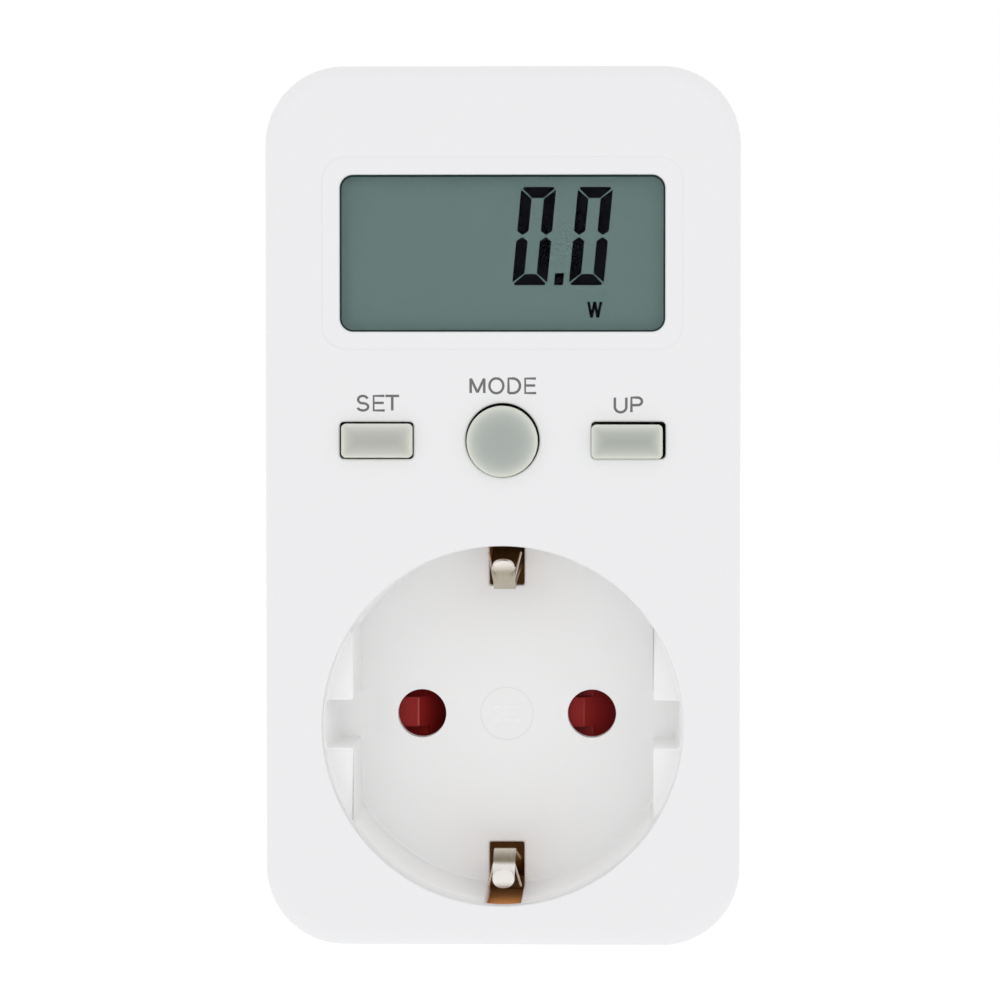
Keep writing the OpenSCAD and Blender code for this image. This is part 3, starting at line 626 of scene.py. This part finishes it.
def atApertures(middle, direction):
    return hypot(abs(middle.x) - apertureX, middle.z) < apertureRadius * ownRim["aperture"]


def awayFromHoles(middle, direction):
    return hypot(middle.x, middle.z) > markRadius * ownRim["mark"] and not atApertures(middle, direction)


def uprightOnly(middle, direction):
    return abs(direction.normalized().z) > parallel and direction.length > shortestUpright


rounding = {
    "insert": [(0.25 * mm, 3, 50, awayFromHoles), (0.07 * mm, 2, 50, atApertures)],
    "rear": [(0.3 * mm, 3, 50, awayFromWells)],
    "shutter": [(0.08 * mm, 3, 8, uprightOnly)],
    "clip": [(0.08 * mm, 2, 50, anyEdge)],
}
softened("socket_insert", "recessInsert", rounding["insert"])
softened("rear_cover", "rearCover", rounding["rear"])
softened("shutter", "redShutter", rounding["shutter"], 20)
print("housing and shutter made")


# Painted highlight: a lighter line along the ridge of each ramp of the shutter, brighter on the left ramp

ridge = {"height": 3.1 * mm, "radius": 0.13 * mm, "segments": 10, "left": -10.02 * mm,
         "right": 8.58 * mm, "sunk": 0.03 * mm}
# painted highlight colours of the two ridges
ridgeHighlightReds = {"left": (0.46, 0.06, 0.045), "right": (0.32, 0.02, 0.018)}


def makeRidges():
    for side, colour in ridgeHighlightReds.items():
        bm = bmesh.new()
        bmesh.ops.create_cone(bm, cap_ends=True, segments=ridge["segments"], radius1=ridge["radius"],
                              radius2=ridge["radius"], depth=ridge["height"])
        bmesh.ops.translate(bm, vec=(ridge[side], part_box("shutter")[0].y + ridge["sunk"], 0), verts=bm.verts)
        ridgeShine = mouldedPlastic(side + "RidgeHighlightRed", colour, 0.4)
        place(finishMesh(bm, side + "ShutterRidge", ridgeShine), "shutter_slider", "shutter")


makeRidges()


# Earth clips: painted reflections and shade in bands from the tip inwards, each with two thin arms beside its
# tongue

clip = {"colour": (0.8, 0.75, 0.66), "roughness": 0.46, "metallic": 0.8, "smoothest": 60}
# painted reflections and shade: light and dark bands along each clip's tongue, from its front edge inwards
clipReflectionBands = {
    "length": 8 * mm,
    "top": [(0.0, (1.0, 0.97, 0.92)), (0.08, (0.95, 0.91, 0.84)), (0.16, (0.55, 0.5, 0.4)),
            (0.6, (0.58, 0.53, 0.43)), (1.0, (0.3, 0.25, 0.17))],
    "bottom": [(0.0, (0.7, 0.66, 0.58)), (0.05, (1.0, 0.97, 0.93)), (0.34, (1.0, 0.97, 0.93)),
               (0.43, (0.3, 0.26, 0.19)), (0.5, (0.29, 0.25, 0.18)), (0.75, (0.66, 0.61, 0.53)),
               (1.0, (0.35, 0.22, 0.1))],
}
arms = {
    # the two ends of an arm: sideways, behind the front face, away from the recess's axis
    "inner": (1.12 * mm, 6.6 * mm, 15.6 * mm),
    "outer": (1.78 * mm, 9.6 * mm, 18.4 * mm),
    "width": 0.25 * mm,
    "depth": 0.18 * mm,
    "edgeRadius": 0.04 * mm,
    "colour": (0.72, 0.68, 0.6),
    "roughness": 0.45,
    "metallic": 0.3,
}


def barBetween(bm, start, end, width, depth):
    # a square bar from start to end, width along X
    run = Vector(end) - Vector(start)
    turn = run.to_track_quat("Z", "X").to_matrix()
    added = bmesh.ops.create_cube(bm, size=1)["verts"]
    bmesh.ops.scale(bm, vec=(width, depth, run.length), verts=added)
    bmesh.ops.rotate(bm, cent=(0, 0, 0), matrix=turn, verts=added)
    bmesh.ops.translate(bm, vec=(Vector(start) + Vector(end)) / 2, verts=added)


def makeArms(side):
    up = 1 if side == "top" else -1
    bm = bmesh.new()
    for right in (-1, 1):
        ends = [(right * x, frontY + y, up * z) for x, y, z in (arms["inner"], arms["outer"])]
        barBetween(bm, *ends, arms["width"], arms["depth"])
    bevelEdges(bm, list(bm.edges), arms["edgeRadius"], 2)
    material = platedMetal(side + "ArmNickel", arms["colour"], arms["roughness"], metallic=arms["metallic"])
    place(finishMesh(bm, side + "ClipArms", material), side + "_earth_clip", "clip_metal")


def makeClip(side):
    node = "earth_clip_" + side
    nickel = platedMetal(side + "ClipNickel", clip["colour"], clip["roughness"], metallic=clip["metallic"],
                         relief=0)
    tintByDepth(nickel, clipReflectionBands[side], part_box(node)[0].y, clipReflectionBands["length"])
    softened(node, side + "EarthClip", rounding["clip"], clip["smoothest"], nickel)
    makeArms(side)


for side in ("top", "bottom"):
    makeClip(side)
print("earth clips made")


# Raised mark inside the shallow ring in the middle of the recess: two rows of plain dashes

mark = {
    "raised": 0.1 * mm,
    "dash": (0.75 * mm, 0.4 * mm),
    "corner": 0.15 * mm,
    "pitch": 1.15 * mm,
    "rowGap": 1.5 * mm,
    "sunk": 0.1 * mm,
    # painted light and shade: the dashes a shade lighter than the recess floor and the ring darker, so that
    # the shallow mark shows
    "tone": (0.97, 0.97, 0.97),
    "ring": 0.13 * mm,
    "ringRaised": 0.03 * mm,
    "ringShadeTone": (0.86, 0.86, 0.86),
}


def makeMark():
    bm = bmesh.new()
    floor = frontY + recessDepth + mark["sunk"]
    for row in (-0.5, 0.5):
        for column in (-1, 0, 1):
            added = bmesh.ops.create_cube(bm, size=1)["verts"]
            bmesh.ops.scale(bm, vec=(mark["dash"][0], mark["raised"], mark["dash"][1]), verts=added)
            middle = (column * mark["pitch"], floor - mark["raised"] / 2, row * mark["rowGap"])
            bmesh.ops.translate(bm, vec=middle, verts=added)
    bevelEdges(bm, edgesAlongY(bm), mark["corner"], 3)
    place(finishMesh(bm, "recessMark", mouldedPlastic("markWhite", mark["tone"], 0.4)), "housing", "recess")
    ring = combine(roundBar(markRadius, floor - mark["ringRaised"], floor),
                   [("DIFFERENCE", roundBar(markRadius - mark["ring"], floor - through, floor + through))])
    ringShadeGrey = mouldedPlastic("ringShadeGrey", mark["ringShadeTone"], 0.4)
    place(finishMesh(ring, "recessMarkRing", ringShadeGrey), "housing", "recess")


makeMark()


# Webs and shutter spring, copied from their CAD shape and held by the housing

def yielding(node, name, smoothest=40):
    bm = bmesh.new()
    bm.from_mesh(frame["nodes"][node].data)
    bmesh.ops.remove_doubles(bm, verts=bm.verts, dist=weld["yielding"])
    entry = next(s for s in frame["record"]["subparts"] if s["node"] == node)
    piece = finishMesh(bm, name, finishes[entry["material_slot"]], smoothest, tidy=False)
    place(piece, "housing", entry["material_slot"], node)
    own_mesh(piece)


for key in ("set", "mode", "up"):
    yielding(key + "_web", key + "Web")
yielding("shutter_spring", "shutterSpring",
         180)
print("yielding pieces made")


# Keys

keys = {
    "bevel": 0.32 * mm,
    "bevelSegments": 5,
    "skirtRadius": 0.5 * mm,
    "skirtSegments": 5,
    "smoothest": 60,
    "roundWithin": 0.1 * mm,    # a key as wide as it is high, within this, is round
    # rim and paleBand: painted light along each key's edge
    "rim": (0.69, 0.71, 0.64),
    "paleBand": 0.7 * mm,
    "set_key": {"middle": (0.4, 0.4, 0.37), "body": "set_button"},
    "mode_key": {"middle": (0.36, 0.39, 0.37), "body": "mode_button"},
    "up_key": {"middle": (0.352, 0.378, 0.343), "body": "up_button"},
}


def makeKey(node):
    low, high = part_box(node)
    mid = boxMid(node)
    width, height = high.x - low.x, high.z - low.z
    isRound = abs(width - height) < keys["roundWithin"]
    if isRound:
        bm = roundBar(width / 2, low.y, high.y, mid.x, mid.z)
    else:
        bm = roundedBlock(width, height, keys["skirtRadius"], low.y, high.y, mid.x, mid.z,
                          keys["skirtSegments"])
    bevelEdges(bm, edgesAtDepth(bm, low.y), keys["bevel"], keys["bevelSegments"], clamp=False)
    look = keys[node]
    material = keySilicone(node + "Silicone", look["middle"], keys["rim"], mid, width / 2, height / 2,
                           keys["paleBand"], isRound)
    piece = finishMesh(bm, node.replace("_key", "Key"), material, keys["smoothest"])
    evenNormals(piece)
    place(piece, look["body"], "key", node)


for keyName in keyHoles:
    makeKey(keyName)
print("keys made")


# Display

digit = {
    "height": 10.6 * mm,
    "width": 3.78 * mm,
    "bar": 1.23 * mm,    # width of an upright bar
    "cap": 1.2 * mm,    # height of the top and bottom bars
    "cut": 0.045 * mm,    # half the gap along a mitre
    "middleGap": 0.14 * mm,    # half the gap between the uprights at mid-height
    "point": 0.42 * mm,    # how far the uprights taper at mid-height
    "corner": 0.3 * mm,
    "slant": 0.0956,
    "bottom": 47.68 * mm,
    "firstX": 1.0 * mm,
    "secondX": 7.13 * mm,
    "dotX": 5.53 * mm,
    "dotWidth": 0.98 * mm,
    "dotHeight": 1.3 * mm,
    "thickness": 0.02 * mm,
    "inFront": 0.01 * mm,    # of the display glass
    "blur": 0.05 * mm,
}


def flatShape(bm, corners, x, z, y, thickness, slant=0.0):
    # a thin plate whose outline runs through corners, measured from (x, z) and leaning by slant
    ring = [bm.verts.new((x + u + v * slant, y, z + v)) for u, v in corners]
    face = bm.faces.new(ring)
    lifted = bmesh.ops.extrude_face_region(bm, geom=[face])
    raised = [g for g in lifted["geom"] if isinstance(g, bmesh.types.BMVert)]
    bmesh.ops.translate(bm, vec=(0, thickness, 0), verts=raised)


def zeroBars():
    # the six lit bars of a nought, each as its corners: the top half, then the same upside down
    w, h, t, c = digit["width"], digit["height"], digit["bar"], digit["cap"]
    g, k, half, tip = digit["cut"], digit["corner"], digit["height"] / 2, digit["point"]
    mid = digit["middleGap"]
    topBar = [(k, h), (w - k, h), (w - k * 0.55, h - k * 0.6), (w - t - g, h - c), (t + g, h - c),
              (k * 0.55, h - k * 0.6)]
    upright = [(0, h - k * 1.5), (g * 0.9, h - k * 1.05), (t - g * 0.3, h - c - g * 1.6), (t, h - c - g * 3),
               (t, half + mid + tip), (t * 0.55, half + mid), (t * 0.45, half + mid), (0, half + mid + tip)]
    bars = [topBar, upright, [(w - u, v) for u, v in upright]]
    return bars + [[(u, h - v) for u, v in bar] for bar in bars]


def makeDigits():
    bm = bmesh.new()
    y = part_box("lcd_glass")[0].y - digit["thickness"] - digit["inFront"]
    for x in (digit["firstX"], digit["secondX"]):
        for bar in zeroBars():
            flatShape(bm, bar, x, digit["bottom"], y, digit["thickness"], digit["slant"])
    w, h = digit["dotWidth"], digit["dotHeight"]
    flatShape(bm, [(0, 0), (w, 0), (w, h), (0, h)], digit["dotX"], digit["bottom"], y, digit["thickness"],
              digit["slant"])
    bevelEdges(bm, edgesAlongY(bm), digit["blur"], 2)
    ink = mouldedPlastic("displayInk", (0.003, 0.003, 0.005), 0.9, mottle=0.1, specular=0)
    place(finishMesh(bm, "displayDigits", ink), "housing", "display")
    return ink, y


ink, inkY = makeDigits()


# Lettering by the keys: plain words, each letter drawn as strokes in a box 1 high

def arc(midX, midZ, radiusX, radiusZ, first, last, steps=14):
    turns = [radians(first + (last - first) * i / steps) for i in range(steps + 1)]
    return [(midX + radiusX * cos(t), midZ + radiusZ * sin(t)) for t in turns]


letters = {
    "S": (0.67, [arc(0.33, 0.745, 0.29, 0.255, 15, 262) + arc(0.33, 0.25, 0.33, 0.25, 82, -165)]),
    "E": (0.66, [[(0.66, 1), (0, 1), (0, 0), (0.68, 0)], [(0, 0.52), (0.62, 0.52)]]),
    "T": (0.58, [[(-0.26, 1), (0.58, 1)], [(0.16, 1), (0.16, 0)]]),
    "M": (0.84, [[(0, 0), (0, 1)], [(0.01, 1), (0.42, 0.04)], [(0.42, 0.04), (0.83, 1)],
                 [(0.84, 1), (0.84, 0)]]),
    "O": (0.86, [arc(0.43, 0.5, 0.43, 0.51, 90, 450, 28)]),
    "D": (0.71, [[(0, 0), (0, 1)] + arc(0.28, 0.5, 0.43, 0.5, 90, -90) + [(0, 0)]]),
    "U": (0.72, [[(0, 1), (0, 0.36)] + arc(0.36, 0.36, 0.36, 0.37, 180, 360) + [(0.72, 1)]]),
    "P": (0.66, [[(0, 0), (0, 1)] + arc(0.39, 0.74, 0.27, 0.26, 90, -90) + [(0, 0.48)]]),
    "W": (0.95, [[(0, 1), (0.24, 0)], [(0.24, 0), (0.475, 1)], [(0.475, 1), (0.71, 0)],
                 [(0.71, 0), (0.95, 1)]]),
}
labels = {
    "SET": {"x": -13.38 * mm, "z": 34.94 * mm, "width": 4.78 * mm},
    "MODE": {"x": 0.11 * mm, "z": 36.82 * mm, "width": 7.31 * mm},
    "UP": {"x": 13.6 * mm, "z": 34.77 * mm, "width": 3.2 * mm},
}
labelStyle = {
    "height": 1.85 * mm,
    "stroke": 0.28 * mm,
    "gap": 0.32,    # space between letters, as a share of their height
    "grey": (0.14, 0.14, 0.137),
}
unitMark = {"x": 9.94 * mm, "z": 45.03 * mm, "width": 1.68 * mm, "height": 2.02 * mm, "stroke": 0.32 * mm}
printThickness = 0.012 * mm


def lettering(word, name, material, spot, height, stroke, y):
    # strokes swept as round wire, then pressed flat to the thickness of the print
    curve = bpy.data.curves.new(name + "Strokes", "CURVE")
    curve.dimensions = "3D"
    curve.bevel_depth = stroke / 2
    curve.bevel_resolution = 3
    curve.use_fill_caps = True
    tall = height - stroke
    natural = sum(letters[c][0] for c in word) + labelStyle["gap"] * (len(word) - 1)
    stretch = (spot["width"] - stroke) / (natural * tall)
    start = spot["x"] - (spot["width"] - stroke) / 2
    for letter in word:
        width, strokes = letters[letter]
        for path in strokes:
            line = curve.splines.new("POLY")
            line.points.add(len(path) - 1)
            for point, (u, v) in zip(line.points, path):
                point.co = (start + u * tall * stretch, 0, spot["z"] + (v - 0.5) * tall, 1)
        start += (width + labelStyle["gap"]) * tall * stretch
    source = bpy.data.objects.new(name + "Strokes", curve)
    bpy.context.scene.collection.objects.link(source)
    bpy.context.view_layer.update()
    bm = bmesh.new()
    bm.from_mesh(source.evaluated_get(bpy.context.evaluated_depsgraph_get()).to_mesh())
    bpy.data.objects.remove(source)
    bmesh.ops.scale(bm, vec=(1, printThickness / stroke, 1), verts=bm.verts)
    bmesh.ops.translate(bm, vec=(0, y, 0), verts=bm.verts)
    return finishMesh(bm, name, material)


def makeLabels():
    grey = mouldedPlastic("labelPrint", labelStyle["grey"], 0.6, mottle=0.05)
    for word, spot in labels.items():
        piece = lettering(word, word.lower() + "Label", grey, spot, labelStyle["height"],
                          labelStyle["stroke"], frontY - printThickness / 2)
        place(piece, "housing", "cover")


makeLabels()
place(lettering("W", "displayUnit", ink, unitMark, unitMark["height"], unitMark["stroke"], inkY),
      "housing", "display")


# Painted shadow: a dark line where the clear window meets the cover, thicker at the top, under the light from
# above

windowShadowLine = {"top": 0.25 * mm, "side": 0.19 * mm, "thickness": 0.05 * mm, "inFront": 0.01 * mm,
              "colour": (0.006, 0.022, 0.02)}


def makeWindowShadowLine():
    side, top = windowShadowLine["side"], windowShadowLine["top"]
    front = windowBox[0].y - windowShadowLine["inFront"]
    back = front + windowShadowLine["thickness"]
    width, height, radius = windowSize["width"], windowSize["height"], windowSize["radius"]
    inner = roundedBlock(width - 2 * side, height - side - top, radius - side, front - through,
                         back + through, windowMid.x, windowMid.z + (side - top) / 2)
    outer = roundedBlock(width, height, radius, front, back, windowMid.x, windowMid.z)
    bm = combine(outer, [("DIFFERENCE", inner)])
    dark = mouldedPlastic("windowEdge", windowShadowLine["colour"], 0.5, mottle=0.1, specular=0.2)
    place(finishMesh(bm, "windowEdgeLine", dark), "housing", "window")


makeWindowShadowLine()


# Thin printed border on the blank rating label

labelBorder = {"inset": 0.9 * mm, "line": 0.18 * mm, "radius": 0.8 * mm, "sunk": 0.002 * mm,
               "colour": (0.05, 0.05, 0.055)}


def makeLabelBorder():
    low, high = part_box("rating_label")
    width = high.x - low.x - 2 * labelBorder["inset"]
    height = high.z - low.z - 2 * labelBorder["inset"]
    line, radius = labelBorder["line"], labelBorder["radius"]
    mid = (low + high) / 2
    front, back = high.y - labelBorder["sunk"], high.y + printThickness
    inner = roundedBlock(width - 2 * line, height - 2 * line, radius - line, front - through, back + through,
                         mid.x, mid.z)
    bm = combine(roundedBlock(width, height, radius, front, back, mid.x, mid.z), [("DIFFERENCE", inner)])
    ink = mouldedPlastic("labelInk", labelBorder["colour"], 0.6, mottle=0.1)
    place(finishMesh(bm, "ratingLabelBorder", ink), "housing", "label")


makeLabelBorder()
print("display and lettering made")


# Camera, light and floor

view = {
    "from": (15.2 * mm, -554 * mm, 41.8 * mm),
    "at": (-0.24 * mm, -57 * mm, 24.5 * mm),
    "lens": 166,
    "sensor": 36,
    "near": 0.01,
    "far": 50,
}
light = {
    "world": 1.0,
    "keyPower": 0.15,
    "keySize": 0.6,
    "keyFrom": (-0.15, -0.8, 0.45),
    "keyAt": (0, -0.03, 0.02),
    "floorDrop": 120 * mm,
    "floorSize": 6.0,
    "floorColour": (0.95, 0.95, 0.95),
    "floorGlow": 0.12,
}


def makeCamera():
    data = bpy.data.cameras.new("camera")
    data.sensor_width = view["sensor"]
    data.lens = view["lens"]
    data.clip_start = view["near"]
    data.clip_end = view["far"]
    camera = bpy.data.objects.new("camera", data)
    bpy.context.scene.collection.objects.link(camera)
    camera.location = view["from"]
    aim = Vector(view["at"]) - Vector(view["from"])
    camera.rotation_euler = aim.to_track_quat("-Z", "Y").to_euler()
    bpy.context.scene.camera = camera


def makeKeyLight():
    data = bpy.data.lights.new("keyLight", "AREA")
    data.energy = light["keyPower"]
    data.size = light["keySize"]
    lamp = bpy.data.objects.new("keyLight", data)
    bpy.context.scene.collection.objects.link(lamp)
    lamp.location = light["keyFrom"]
    aim = Vector(light["keyAt"]) - Vector(light["keyFrom"])
    lamp.rotation_euler = aim.to_track_quat("-Z", "Y").to_euler()


def makeWorld():
    scene = bpy.context.scene
    scene.view_settings.view_transform = "Standard"
    world = bpy.data.worlds.new("studio")
    scene.world = world
    world.use_nodes = True
    sky = world.node_tree.nodes["Background"]
    sky.inputs["Strength"].default_value = light["world"]
    sky.inputs["Color"].default_value = (1.0, 1.0, 1.0, 1.0)


def makeFloor():
    bm = bmesh.new()
    bmesh.ops.create_grid(bm, x_segments=1, y_segments=1, size=light["floorSize"])
    bmesh.ops.translate(bm, vec=(0, 0, cadLow.z - light["floorDrop"]), verts=bm.verts)
    material, shader = principled("palePaper", light["floorColour"], 0.9)
    shader.inputs["Emission Color"].default_value = (1, 1, 1, 1)
    shader.inputs["Emission Strength"].default_value = light["floorGlow"]
    finishMesh(bm, "paperFloor", material, tidy=False)


makeCamera()
makeWorld()
makeKeyLight()
makeFloor()
print("camera, light and floor made")
